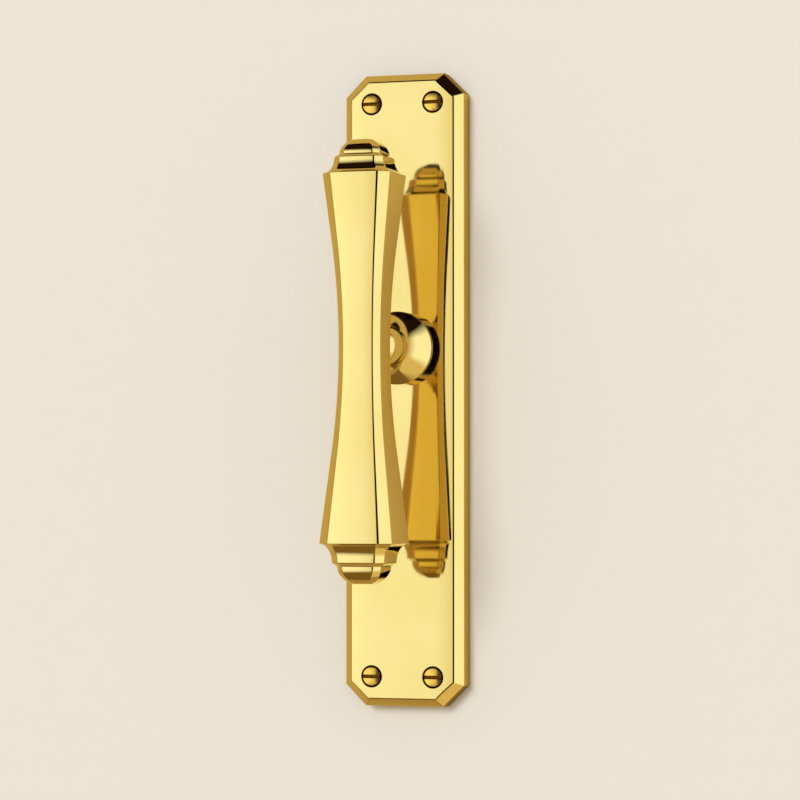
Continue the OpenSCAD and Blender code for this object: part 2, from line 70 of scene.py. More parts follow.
plate_low, plate_high = box_mm("backplate")
collar_low, collar_high = box_mm("bearing_collar")
neck_high = box_mm("neck")[1]
grip_low, grip_high = box_mm("grip")
screw_high = box_mm("plate_screws")[1]

axis_z = (collar_low.z + collar_high.z) / 2
front_y = plate_low.y
wall_y = collar_high.y
print(f"plate {plate_high.x * 2:.1f} x {plate_high.z * 2:.1f} mm, turning axis at z {axis_z:.1f} mm")

# %% [markdown]
# ## The camera
# The photograph was taken with a long lens from a little to the right and just below the middle, so
# the plate shows its right edge and the lines stay almost parallel. Blender's camera looks along its
# own -Z, so a turn of 90 degrees about X makes it level, and a little more makes it look up.

# %% Place the camera
CAMERA_AT = Vector((364.1, -1133.3, -41.0))
CAMERA_UP_DEG = 1.79
CAMERA_YAW_DEG = 18.0

camera = bpy.data.objects.new("camera", bpy.data.cameras.new("camera"))
camera.data.sensor_width = 36.0
camera.data.lens = 140.4
camera.data.clip_start = 0.05
camera.location = CAMERA_AT * MM
camera.rotation_euler = (math.radians(90 + CAMERA_UP_DEG), 0, math.radians(CAMERA_YAW_DEG))
bpy.context.scene.collection.objects.link(camera)
bpy.context.scene.camera = camera
bpy.context.scene.view_settings.view_transform = "Standard"
print(f"camera {CAMERA_AT.length / 1000:.2f} m away, lens {camera.data.lens} mm")

# %% [markdown]
# ## Helpers for materials
# Colours are written as sRGB hex values, the way a paint card gives them. Shaders work in linear
# light, so one function converts them. One more function adds a node, sets it and links it. Most
# finishes differ by a soft, cloudy drift of their tone, so the cloud and the tint have helpers too.

# %% Colour and node helpers
def linear(hex_colour):
    channels = [int(hex_colour[i:i + 2], 16) / 255 for i in (1, 3, 5)]
    return [c / 12.92 if c <= 0.04045 else ((c + 0.055) / 1.055) ** 2.4 for c in channels] + [1.0]


def add_node(tree, kind, inputs=None, **settings):
    node = tree.nodes.new("ShaderNode" + kind)
    for name, value in settings.items():
        setattr(node, name, value)
    for socket, value in (inputs or {}).items():
        if isinstance(value, bpy.types.NodeSocket):
            tree.links.new(value, node.inputs[socket])
        else:
            node.inputs[socket].default_value = value
    return node


def set_ramp(ramp, stops):
    while len(ramp.elements) < len(stops):
        ramp.elements.new(1.0)
    for element, (position, colour) in zip(ramp.elements, stops):
        element.position = position
        element.color = colour


def new_material(name):
    material = bpy.data.materials.new(name)
    material.use_nodes = True
    return material, material.node_tree, material.node_tree.nodes["Principled BSDF"]


def cloud(tree, size, detail):
    place = add_node(tree, "TexCoord").outputs["Object"]
    return add_node(tree, "TexNoise", {"Vector": place, "Scale": 1 / size, "Detail": detail}).outputs["Fac"]


def tint(tree, shader, share, stops):
    ramp = add_node(tree, "ValToRGB", {"Fac": share})
    set_ramp(ramp.color_ramp, [(position, linear(colour)) for position, colour in stops])
    tree.links.new(ramp.outputs["Color"], shader.inputs["Base Color"])


print("white is", linear("#FFFFFF"))

# %% [markdown]
# ## Polished brass
# The casting is ground, mopped on a cloth wheel and lacquered. What the eye gets is a mirror with a
# yellow tint. Three faint things keep it from looking like a computer's mirror: the tone drifts a
# little over a few centimetres, the cloth wheel leaves soft patches, and its grit leaves hairlines
# along the length. Real hairlines are a few hundredths of a millimetre apart. They are drawn ten
# times coarser here, so that they show at all.

# %% Make the polished brass
BRASS_TONE_SIZE = 30 * MM
MOP_PATCH_SIZE = 14 * MM
MOP_ROUGHNESS = (0.035, 0.075)
HAIRLINE_GAP, HAIRLINE_LENGTH = 0.35 * MM, 40 * MM
HAIRLINE_DEPTH, HAIRLINE_STRENGTH = 0.01 * MM, 0.02


def make_polished_brass():
    material, tree, shader = new_material("polished_brass")
    tint(tree, shader, cloud(tree, BRASS_TONE_SIZE, 2.0), [(0.35, "#ECD897"), (0.65, "#EFDC9E")])
    patches = cloud(tree, MOP_PATCH_SIZE, 4.0)
    gloss = add_node(tree, "MapRange", {"Value": patches, "From Min": 0.3, "From Max": 0.7,
                                        "To Min": MOP_ROUGHNESS[0], "To Max": MOP_ROUGHNESS[1]})
    grit = (1 / HAIRLINE_GAP, 1 / HAIRLINE_GAP, 1 / HAIRLINE_LENGTH)
    place = add_node(tree, "TexCoord").outputs["Object"]
    stretch = add_node(tree, "Mapping", {"Vector": place, "Scale": grit})
    hairlines = add_node(tree, "TexNoise", {"Vector": stretch.outputs["Vector"], "Scale": 1.0,
                                            "Detail": 2.0})
    bump = add_node(tree, "Bump", {"Height": hairlines.outputs["Fac"], "Strength": HAIRLINE_STRENGTH,
                                   "Distance": HAIRLINE_DEPTH})
    tree.links.new(gloss.outputs["Result"], shader.inputs["Roughness"])
    tree.links.new(bump.outputs["Normal"], shader.inputs["Normal"])
    shader.inputs["Metallic"].default_value = 1.0
    return material


finishes = {"polished_brass": make_polished_brass()}
print("polished brass:", len(finishes["polished_brass"].node_tree.nodes), "nodes")

# %% [markdown]
# ## Plainer brass
# Not all the brass is mopped. The heads of the fixing screws come from the lathe, so they are satin and
# a deeper yellow. Their slots and the countersinks round them are left as they were cut, and are given a
# dull dark brown. The hollow back of the plate keeps the skin of the casting, matt and finely pebbled.
# One function makes them all, because they differ only in grain, tones and gloss. A gloss that varies
# with the grain is given as two values.

# %% Make the plainer brass
METAL_GRAIN = 0.8 * MM


def make_grained(name, size, detail, stops, roughness, pebble=None, metallic=1.0):
    material, tree, shader = new_material(name)
    grain = cloud(tree, size, detail)
    tint(tree, shader, grain, stops)
    if isinstance(roughness, tuple):
        gloss = add_node(tree, "MapRange", {"Value": grain, "To Min": roughness[0], "To Max": roughness[1]})
        tree.links.new(gloss.outputs["Result"], shader.inputs["Roughness"])
    else:
        shader.inputs["Roughness"].default_value = roughness
    if pebble:
        bump = add_node(tree, "Bump", {"Height": grain, "Strength": pebble[0], "Distance": pebble[1]})
        tree.links.new(bump.outputs["Normal"], shader.inputs["Normal"])
    shader.inputs["Metallic"].default_value = metallic
    finishes[name] = material
    return shader


make_grained("turned_brass", METAL_GRAIN, 3.0, [(0.35, "#E9C05C"), (0.65, "#F1CC70")], (0.18, 0.28))
make_grained("sawn_brass", METAL_GRAIN, 4.0, [(0.35, "#5E3809"), (0.65, "#86561A")], 0.5)
make_grained("cast_brass", METAL_GRAIN, 5.0, [(0.35, "#A98A4C"), (0.65, "#C4A564")], 0.55, (0.4, 0.08 * MM))
print("brass finishes:", list(finishes))

# %% [markdown]
# ## The working metals
# Behind the plate nothing is polished. Turned and stamped steel gets a bright zinc plate, which is a
# cool grey with a faint yellow and blue drift. The gear case is die-cast zinc: tumbled, so dull and
# slightly pebbled. The bush is oil-soaked bronze, brown and satin, with the fine rings of the lathe.
# The thrust washer is plain nylon. The CAD nodes stay as they are and only get these finishes.

# %% Make the hidden finishes
PLATING_DRIFT = 6 * MM
LATHE_RING = 0.4 * MM
WAVES_PER_SCALE = 20
NYLON_IOR = 1.53


def make_bronze():
    material, tree, shader = new_material("bronze_bush")
    place = add_node(tree, "TexCoord").outputs["Object"]
    rings = add_node(tree, "TexWave", {"Vector": place, "Scale": 1 / (WAVES_PER_SCALE * LATHE_RING),
                                       "Distortion": 0.6}, wave_type="BANDS", bands_direction="Y")
    tint(tree, shader, rings.outputs["Fac"], [(0.2, "#9C7442"), (0.8, "#B58A54")])
    shader.inputs["Metallic"].default_value = 1.0
    shader.inputs["Roughness"].default_value = 0.38
    return material


make_grained("zinc_plated_steel", PLATING_DRIFT, 3.0,
             [(0.30, "#C9CBD1"), (0.50, "#D2D2D0"), (0.70, "#D6D0C0")], (0.26, 0.42))
make_grained("die_cast_zinc", METAL_GRAIN, 5.0, [(0.35, "#A3A6A9"), (0.65, "#B6B8BA")], (0.42, 0.60),
             (0.35, 0.05 * MM))
finishes["bronze_bush"] = make_bronze()
nylon = make_grained("nylon", PLATING_DRIFT, 2.0, [(0.3, "#E6E3D6"), (0.7, "#EDEADF")], 0.45, metallic=0.0)
nylon.inputs["IOR"].default_value = NYLON_IOR

slot_of = {row["node"]: row["material_slot"] for row in frame["record"]["subparts"]}
for node, slot in slot_of.items():
    solid = frame["nodes"][node].data
    solid.materials.clear()
    solid.materials.append(finishes[slot])
print("finishes:", {slot: list(slot_of.values()).count(slot) for slot in finishes})

# %% [markdown]
# ## Finishing a piece
# All five brass pieces end the same way. The faces are shaded smooth, real corners stay sharp, and a
# Weighted Normal modifier lets the large faces keep their own direction, so only the narrow rounded
# edge between two faces bends the reflection. Then the piece takes over from its CAD node.

# %% Hand a finished mesh over
SHARP_ANGLE = math.radians(32)
JOIN = 0.001 * MM


def hand_over(bm, node, body, looks=("polished_brass",)):
    bmesh.ops.remove_doubles(bm, verts=bm.verts, dist=JOIN)
    bmesh.ops.recalc_face_normals(bm, faces=bm.faces)
    mesh = bpy.data.meshes.new("brass_" + node)
    bm.to_mesh(mesh)
    bm.free()
    mesh.shade_smooth()
    mesh.set_sharp_from_angle(angle=SHARP_ANGLE)
    for look in looks:
        mesh.materials.append(finishes[look])
    piece = bpy.data.objects.new("brass_" + node, mesh)
    bpy.context.scene.collection.objects.link(piece)
    weighted = piece.modifiers.new("weighted_normals", "WEIGHTED_NORMAL")
    weighted.keep_sharp = True
    weighted.weight = 100
    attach(piece, body)
    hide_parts(node)
    print(f"{piece.name}: {len(mesh.polygons)} faces")
    return piece


# %% [markdown]
# ## The plate
# The real plate is a long casting whose front is flat in the middle, rolls off softly to both sides, as
# polishing leaves it, and is bevelled all round. A pattern maker would plane it from a long bar, and
# that is what happens here: the section is drawn and pulled out, and flat planes then cut the chamfered
# corners and the eight bevels. Cutting with planes gives exact mitres, which an inset would not.

# %% Pull the rolled bar
FLAT_HALF = 12.0
ROLL_R = 80.0
ROLL_STEPS = 7
PLATE_EDGE = 6.4
SIDE_BEVEL_W, SIDE_BEVEL_H = 3.2, 3.3
END_BEVEL_W = 3.0
PLATE_CORNER = 8.1

half_w, half_h = plate_high.x, plate_high.z
roll_turn = math.asin((half_w - FLAT_HALF) / ROLL_R)


def roll_y(x):
    return front_y + ROLL_R - math.sqrt(ROLL_R ** 2 - max(0, abs(x) - FLAT_HALF) ** 2)


plate = bmesh.new()
outer = [plate.verts.new(Vector((x, roll_y(x), -half_h)) * MM) for x in (half_w, -half_w)]
inner = [bmesh.ops.spin(plate, geom=[end], cent=Vector((side * FLAT_HALF, front_y + ROLL_R, -half_h)) * MM,
                        axis=(0, 0, -side), angle=roll_turn, steps=ROLL_STEPS)["geom_last"][0]
         for end, side in zip(outer, (1, -1))]
back_corners = [plate.verts.new(Vector((x, 0, -half_h)) * MM) for x in (half_w, -half_w)]
for ends in (inner, back_corners, *zip(outer, back_corners)):
    plate.edges.new(ends)
section = bmesh.ops.contextual_create(plate, geom=plate.edges[:])["faces"]
pulled = bmesh.ops.extrude_face_region(plate, geom=section)["geom"]
bmesh.ops.translate(plate, vec=(0, 0, 2 * half_h * MM),
                    verts=[v for v in pulled if isinstance(v, bmesh.types.BMVert)])
bmesh.ops.recalc_face_normals(plate, faces=plate.faces)
print("rolled bar:", len(plate.faces), "faces")

# %% Plane the corners and bevels
ON_PLANE = 0.0005 * MM


def plane_off(bm, point, direction):
    everything = bm.verts[:] + bm.edges[:] + bm.faces[:]
    cut = bmesh.ops.bisect_plane(bm, geom=everything, dist=ON_PLANE, plane_co=Vector(point) * MM,
                                 plane_no=direction, clear_outer=True)["geom_cut"]
    bmesh.ops.contextual_create(bm, geom=[e for e in cut if isinstance(e, bmesh.types.BMEdge)])


corner_at = half_w + half_h - PLATE_CORNER
for sx in (-1, 1):
    for sz in (-1, 1):
        plane_off(plate, (sx * corner_at / 2, 0, sz * corner_at / 2), (sx, 0, sz))
for sx in (-1, 1):
    plane_off(plate, (sx * half_w, -PLATE_EDGE, 0), (sx * SIDE_BEVEL_H, -SIDE_BEVEL_W, 0))
    plane_off(plate, (0, -PLATE_EDGE, sx * half_h), (0, -END_BEVEL_W, -sx * (front_y + PLATE_EDGE)))
    for sz in (-1, 1):
        reach = SIDE_BEVEL_H / math.sqrt(2)
        plane_off(plate, (sx * corner_at / 2, -PLATE_EDGE, sz * corner_at / 2),
                  (sx * reach, -SIDE_BEVEL_W, sz * reach))
print("bevelled plate:", len(plate.faces), "faces")

# %% [markdown]
# Polishing rounds every edge a little. On a mirror that small round matters more than its size: it
# sweeps through the whole studio and draws the fine dark or bright line that marks each edge. The
# bevel operator rounds all edges of the front, but not the rim that lies on the sash.

# %% Soften the plate's edges and hollow its back
PLATE_ROUND = 0.5
PLATE_RIM = 4.1
ROUNDED_FROM = math.radians(12)
SASH_CLEAR = 0.5

front_edges = [e for e in plate.edges if e.calc_face_angle(0) > ROUNDED_FROM
               and all(v.co.y < -SASH_CLEAR * MM for v in e.verts)]
bmesh.ops.bevel(plate, geom=front_edges, offset=PLATE_ROUND * MM, offset_type="OFFSET", segments=4,
                profile=0.5, affect="EDGES", clamp_overlap=True, material=-1)
back = [f for f in plate.faces if f.normal.y > 0.99]
bmesh.ops.inset_region(plate, faces=back, thickness=PLATE_RIM * MM, use_even_offset=True)
sunk = bmesh.ops.extrude_face_region(plate, geom=back)["geom"]
bmesh.ops.translate(plate, vec=(0, wall_y * MM, 0),
                    verts=[v for v in sunk if isinstance(v, bmesh.types.BMVert)])
bmesh.ops.delete(plate, geom=[f for f in back if f.is_valid], context="FACES")
print("softened plate:", len(plate.faces), "faces")

# %% [markdown]
# ## Turned work
# The collar, the neck, the screws and the holes for them are all turned on a lathe. Each starts as a
# wire of a few points, given as radius and depth. Bevelling a point of the wire rounds that corner,
# and a full spin about the axis makes the solid. An oval sweep is one vertex spun through an angle
# and then stretched.

# %% Lathe helpers
LATHE_STEPS = 96
SMALL_STEPS = 64


def draw_wire(bm, points, closed=False):
    verts = [bm.verts.new((r * MM, y * MM, 0)) for r, y in points]
    ends = verts[1:] + verts[:1] if closed else verts[1:]
    for a, b in zip(verts, ends):
        bm.edges.new((a, b))
    return verts


def round_corner(bm, vert, size):
    bmesh.ops.bevel(bm, geom=[vert], offset=size * MM, offset_type="OFFSET", segments=5, profile=0.5,
                    affect="VERTICES", material=-1)


def draw_sweep(bm, centre, half_axes, start_deg, turn_deg, steps=16):
    before = set(bm.verts)
    start = math.radians(start_deg)
    first = bm.verts.new((math.cos(start), math.sin(start), 0))
    bmesh.ops.spin(bm, geom=[first], cent=(0, 0, 0), axis=(0, 0, 1), angle=math.radians(turn_deg),
                   steps=steps)
    verts = [v for v in bm.verts if v not in before]
    bmesh.ops.scale(bm, vec=(half_axes[0] * MM, half_axes[1] * MM, 1), verts=verts)
    bmesh.ops.translate(bm, vec=(centre[0] * MM, centre[1] * MM, 0), verts=verts)
    return verts


def spin_wire(bm, x, z, steps=LATHE_STEPS):
    bmesh.ops.spin(bm, geom=bm.verts[:] + bm.edges[:], cent=(0, 0, 0), axis=(0, 1, 0),
                   angle=2 * math.pi, steps=steps, use_merge=True)
    bmesh.ops.remove_doubles(bm, verts=bm.verts, dist=JOIN)
    bmesh.ops.recalc_face_normals(bm, faces=bm.faces)
    bmesh.ops.translate(bm, vec=(x * MM, 0, z * MM), verts=bm.verts)


print("lathe ready:", LATHE_STEPS, "steps to a turn")

# %% [markdown]
# ## Holes and posts in the plate
# The plate has four countersunk holes, a round seat for the collar and posts behind for the screws
# and the gear case. Drilling is a boolean job: tool bodies are spun, joined to the plate or taken
# out of it, and thrown away. The narrow gap round each screw head makes the thin dark ring that the
# photograph shows.

# %% Mark the places
SCREW_HEAD_R = 3.6
EAR_POST_R = 4.2

screw_x = screw_high.x - SCREW_HEAD_R
screw_z = screw_high.z - SCREW_HEAD_R
screw_y = roll_y(screw_x)
screw_places = [(sx * screw_x, sz * screw_z) for sx in (-1, 1) for sz in (-1, 1)]
case_low, case_high = box_mm("gear_case")
ear_places = [(0, case_high.z - EAR_POST_R), (0, case_low.z + EAR_POST_R)]
print(f"screws at x {screw_x:.1f}, z {screw_z:.1f} mm")

# %% Boolean helpers
def spun_tool(points, places):
    tool = bmesh.new()
    for x, z in places:
        one = bmesh.new()
        draw_wire(one, points)
        spin_wire(one, x, z, SMALL_STEPS)
        mesh = bpy.data.meshes.new("tool")
        one.to_mesh(mesh)
        tool.from_mesh(mesh)
        bpy.data.meshes.remove(mesh)
        one.free()
    return tool


def work(bm, tool, operation):
    meshes = [bpy.data.meshes.new(name) for name in ("work", "tool")]
    for source, mesh in zip((bm, tool), meshes):
        source.to_mesh(mesh)
        source.free()
    objects = [bpy.data.objects.new(mesh.name, mesh) for mesh in meshes]
    for thing in objects:
        bpy.context.scene.collection.objects.link(thing)
    cut = objects[0].modifiers.new("cut", "BOOLEAN")
    cut.operation, cut.object, cut.solver = operation, objects[1], "EXACT"
    done = objects[0].evaluated_get(bpy.context.evaluated_depsgraph_get())
    result = bmesh.new()
    result.from_mesh(done.to_mesh())
    for thing in objects:
        bpy.data.objects.remove(thing)
    for mesh in meshes:
        bpy.data.meshes.remove(mesh)
    return result


# %% Add the posts and drill the plate
SCREW_SHANK_R = 2.1
SCREW_GAP = 0.65
HOLE_PLAY = 0.2
POST_R = 5.5
POST_ROOT, POST_SHORT = 0.5, 0.02
COLLAR_SEAT = 0.6
COLLAR_GAP = 0.03
SPIGOT_R = 11.0
OVERRUN = 1.0

post_front = wall_y - POST_ROOT
collar_r, seat_y = collar_high.x, front_y + COLLAR_SEAT
for radius, end_y, places in ((POST_R, -POST_SHORT, screw_places), (EAR_POST_R, case_low.y, ear_places)):
    post = [(0, post_front), (radius, post_front), (radius, end_y), (0, end_y)]
    plate = work(plate, spun_tool(post, places), "UNION")
sink_r, hole_r = SCREW_HEAD_R + SCREW_GAP, SCREW_SHANK_R + HOLE_PLAY
drill = [(0, screw_y - OVERRUN), (sink_r + OVERRUN, screw_y - OVERRUN), (sink_r, screw_y),
         (hole_r, screw_y + sink_r - hole_r), (hole_r, OVERRUN), (0, OVERRUN)]
plate = work(plate, spun_tool(drill, screw_places), "DIFFERENCE")
bore_r, bore_y = collar_r + COLLAR_GAP, front_y - OVERRUN
bore = [(0, bore_y), (bore_r, bore_y), (bore_r, seat_y), (SPIGOT_R, seat_y), (SPIGOT_R, wall_y + OVERRUN),
        (0, wall_y + OVERRUN)]
plate = work(plate, spun_tool(bore, [(0, axis_z)]), "DIFFERENCE")
print("drilled plate:", len(plate.faces), "faces")

# %% Give each face of the plate its finish
SAWN, CAST = 1, 2
NEAR = 0.1
END_CLEAR = 1.0

for face in plate.faces:
    middle = face.calc_center_median() / MM
    sunk = any(math.hypot(middle.x - x, middle.z - z) < sink_r for x, z in screw_places)
    within = abs(middle.x) < half_w - PLATE_RIM + NEAR and abs(middle.z) < half_h - END_CLEAR
    if sunk and face.normal.y > -0.9:
        face.material_index = SAWN
    elif (within and middle.y > wall_y - NEAR) or face.normal.y > 0.9:
        face.material_index = CAST
hand_over(plate, "backplate", "plate", ("polished_brass", "sawn_brass", "cast_brass"))

# %% [markdown]
# ## The collar
# A fixed ring that is let into the plate and holds the bush. The turning neck stands on it with the same
# width, so only a hairline shows where still and moving brass meet.

# %% Turn the collar
BUSH_R = 9.45
RIM_ROUND = 0.15

collar = bmesh.new()
wire = draw_wire(collar, [
    (BUSH_R, wall_y), (SPIGOT_R, wall_y), (SPIGOT_R, seat_y), (collar_r, seat_y),
    (collar_r, collar_low.y), (BUSH_R, collar_low.y)], closed=True)
round_corner(collar, wire[4], RIM_ROUND)
spin_wire(collar, 0, axis_z)
hand_over(collar, "bearing_collar", "plate")

# %% [markdown]
# ## The neck
# From a straight rim on the collar the neck rises as a slightly hollow cone to a narrow waist. Above it
# swells a ball, and a short stem joins the ball to the grip. Each hollow is an arc that turns by a given
# angle between two points. Behind the rim runs the journal, which turns in the bush.

# %% Turn the neck
WAIST_R = 6.8
WAIST_E, WAIST_L = 14.0, 4.0
BALL_R, BALL_E = 8.7, 24.5
STEM_R = 5.5
STEM_IN = 8.0
FOOT_RIM = 1.2
JOURNAL_R = 8.0
AXIAL_GAP = 0.1
BALL_HOLLOW_DEG, FOOT_HOLLOW_DEG = 32, 14


def draw_hollow(bm, start, end, turn_deg):
    start, end, turn = Vector(start), Vector(end), math.radians(turn_deg)
    way = end - start
    centre = (start + end) / 2 + Vector((way.y, -way.x)) / (2 * math.tan(turn / 2))
    arm = start - centre
    start_deg = math.degrees(math.atan2(arm.y, arm.x))
    return draw_sweep(bm, centre, (arm.length, arm.length), start_deg, -turn_deg, steps=24)


neck = bmesh.new()
foot_y, ball_y, waist_y = collar_low.y - AXIAL_GAP, front_y - BALL_E, front_y - WAIST_E
grip_y = (grip_low.y + grip_high.y) / 2
stem_y = grip_y + STEM_IN
ball_deg = math.degrees(math.acos(STEM_R / BALL_R))
ball = draw_sweep(neck, (0, ball_y), (BALL_R, -BALL_R), 0, ball_deg, steps=20)
upper = draw_hollow(neck, (BALL_R, ball_y), (WAIST_R, waist_y - WAIST_L), BALL_HOLLOW_DEG)
lower = draw_hollow(neck, (WAIST_R, waist_y), (collar_r, foot_y - FOOT_RIM), FOOT_HOLLOW_DEG)
stem = draw_wire(neck, [(STEM_R, stem_y), (0, stem_y)])
journal = draw_wire(neck, [(collar_r, foot_y), (JOURNAL_R, foot_y), (JOURNAL_R, neck_high.y),
                           (0, neck_high.y)])
for ends in ((stem[0], ball[-1]), (upper[-1], lower[0]), (lower[-1], journal[0])):
    neck.edges.new(ends)
bmesh.ops.remove_doubles(neck, verts=[ball[0], upper[0]], dist=JOIN)
print("neck:", len(neck.verts), "points in its wire")
for radius, y, size in ((BALL_R, ball_y, 0.3), (WAIST_R, waist_y, 0.6), (collar_r, foot_y - FOOT_RIM, 0.3),
                        (collar_r, foot_y, RIM_ROUND)):
    corner = min(neck.verts, key=lambda v: (v.co / MM - Vector((radius, y, 0))).length)
    round_corner(neck, corner, size)
spin_wire(neck, 0, axis_z)
hand_over(neck, "neck", "handle")

# %% [markdown]
# ## The grip
# The bar is a square with cut corners that narrows to a waist, and each end steps in through a hollow
# cove and a ledge to a small dome. Every level has the same outline at another size. So the outline is
# made once, with its front crowned a little, its back a little narrower and its corners rounded as the
# polishing mop leaves them. It is then pulled up level by level: extrude the ring, move it, scale it.

# %% Make the outline of the bar
CORNER_SHARE = 0.305
BACK_HALF = 0.60
FRONT_CROWN_DEG = 6.5
FRONT_CUTS = 11
ARRIS_SHARE = 0.04
FACE_AT = 0.99

grip = bmesh.new()
bmesh.ops.create_grid(grip, x_segments=1, y_segments=1, size=1)
bmesh.ops.bevel(grip, geom=grip.verts[:], offset=CORNER_SHARE, offset_type="OFFSET", segments=1,
                profile=0.5, affect="VERTICES", material=-1)
front = [e for e in grip.edges if all(v.co.y < -FACE_AT for v in e.verts)]
bmesh.ops.subdivide_edges(grip, edges=front, cuts=FRONT_CUTS)
face_half = 1 - CORNER_SHARE
crown_fall = face_half * math.tan(math.radians(FRONT_CROWN_DEG) / 2)
for vert in grip.verts:
    if vert.co.y < -FACE_AT:
        vert.co.y += crown_fall * (vert.co.x / face_half) ** 2
    elif vert.co.y > FACE_AT:
        vert.co.x *= BACK_HALF / face_half
corners = [v for v in grip.verts
           if v.co.y > FACE_AT or abs(min(abs(v.co.x), abs(v.co.y)) - face_half) < 0.001]
bmesh.ops.bevel(grip, geom=corners, offset=ARRIS_SHARE, offset_type="OFFSET", segments=4, profile=0.5,
                affect="VERTICES", material=-1)
print("outline:", len(grip.verts), "points")

# %% [markdown]
# The levels come from one long side view of the bar: a wide arc for the waist, straight flanks, and at
# each end a cove, a ledge and a dome. The side view is drawn as a wire with the lathe's helpers, its
# corners are rounded, and each of its points then gives one level: how wide and how high.

# %% Draw the side view of the bar
BAR_WAIST = 8.1
WAIST_RUN = 38.7
FLARE_RATIO = 0.115
WAIST_DROP = 1.4
FINIAL_UPPER_H, FINIAL_LOWER_H = 12.7, 14.7
COVE_TOP = (0.72, 0.47)
DOME_FOOT = (0.60, 0.56)
DOME_TOP = 0.25
DOME_DEG = 68
SHOULDER_ROUND, LEDGE_ROUND, DOME_ROUND = 0.35, 0.25, 0.12

flare = math.atan(FLARE_RATIO)
flare_deg = math.degrees(flare)
bend_r = WAIST_RUN / math.sin(flare)
waist_z = axis_z - WAIST_DROP
side = bmesh.new()


def run_out(distance):
    return BAR_WAIST + bend_r * (1 - math.cos(flare)) + FLARE_RATIO * (distance - WAIST_RUN)


def draw_finial(shoulder, height, up):
    wide = run_out(abs(shoulder))
    cove_h, foot = up * height * COVE_TOP[1], shoulder + up * height * DOME_FOOT[1]
    cove = draw_sweep(side, (wide, shoulder + cove_h), (wide * (1 - COVE_TOP[0]), cove_h), -90, -90,
                      steps=20)
    dome_r = wide * (DOME_FOOT[0] - DOME_TOP) / (1 - math.cos(math.radians(DOME_DEG)))
    dome_h = up * height * (1 - DOME_FOOT[1]) / math.sin(math.radians(DOME_DEG))
    dome = draw_sweep(side, (wide * DOME_FOOT[0] - dome_r, foot), (dome_r, dome_h), 0, DOME_DEG, steps=20)
    side.edges.new((cove[-1], dome[0]))
    return cove, dome


waist = draw_sweep(side, (BAR_WAIST + bend_r, 0), (bend_r, bend_r), 180 + flare_deg, -2 * flare_deg,
                   steps=48)
upper_cove, upper_dome = draw_finial(grip_high.z - FINIAL_UPPER_H - waist_z, FINIAL_UPPER_H, 1)
lower_cove, lower_dome = draw_finial(grip_low.z + FINIAL_LOWER_H - waist_z, FINIAL_LOWER_H, -1)
side.edges.new((waist[-1], upper_cove[0]))
side.edges.new((waist[0], lower_cove[0]))
for cove, dome in ((upper_cove, upper_dome), (lower_cove, lower_dome)):
    round_corner(side, cove[0], SHOULDER_ROUND)
    round_corner(side, cove[-1], LEDGE_ROUND)
    round_corner(side, dome[0], DOME_ROUND)
levels = sorted((v.co.y, v.co.x) for v in side.verts)
side.free()
print("side view:", len(levels), "levels")

# %% Pull the bar up through its levels
ring = grip.edges[:]
height, width = levels[0]
bmesh.ops.scale(grip, vec=(width, width, 1), verts=grip.verts)
bmesh.ops.translate(grip, vec=(0, 0, height), verts=grip.verts)
for next_height, next_width in levels[1:]:
    pulled = bmesh.ops.extrude_edge_only(grip, edges=ring)["geom"]
    verts = {v for v in pulled if isinstance(v, bmesh.types.BMVert)}
    ring = [e for e in pulled if isinstance(e, bmesh.types.BMEdge) and set(e.verts) <= verts]
    grow = next_width / width
    bmesh.ops.scale(grip, vec=(grow, grow, 1), verts=list(verts))
    bmesh.ops.translate(grip, vec=(0, 0, next_height - height), verts=list(verts))
    height, width = next_height, next_width
bmesh.ops.contextual_create(grip, geom=ring)
bmesh.ops.translate(grip, vec=Vector((0, grip_y, waist_z)) * MM, verts=grip.verts)
hand_over(grip, "grip", "handle")

# %% [markdown]
# ## The fixing screws
# Four slotted brass wood screws with raised heads. The head is spun like the rest. For the slot, two
# planes cut the dome's faces into a strip, and the strip is pushed down and pressed flat. The thread
# is a small triangle spun about the axis with a step along it, which makes a helix.

# %% Turn one screw
SCREW_RAISE = 0.6
HEAD_ROUND = 0.4
CORE_R = 1.6
POINT_L = 5.0

screw_tip = screw_high.y
screw = bmesh.new()
cap_r = (SCREW_HEAD_R ** 2 + SCREW_RAISE ** 2) / (2 * SCREW_RAISE)
cap_deg = math.degrees(math.asin(SCREW_HEAD_R / cap_r))
dome = draw_sweep(screw, (0, screw_y - SCREW_RAISE + cap_r), (cap_r, -cap_r), 90, -cap_deg, steps=14)
shank = draw_wire(screw, [(SCREW_SHANK_R, screw_y + SCREW_HEAD_R - SCREW_SHANK_R), (SCREW_SHANK_R, 0),
                          (CORE_R, 0), (CORE_R, screw_tip - POINT_L), (0, screw_tip)])
screw.edges.new((dome[-1], shank[0]))
round_corner(screw, dome[-1], HEAD_ROUND)
spin_wire(screw, 0, 0, SMALL_STEPS)
print("screw:", len(screw.faces), "faces")

# %% Cut the slot
SLOT_W = 1.4
SLOT_FLOOR = 0.6
SINK_DARK = 0.2
TOUCH = 0.001


def faces_of_dome():
    return [f for f in screw.faces if f.calc_center_median().y < screw_y * MM]


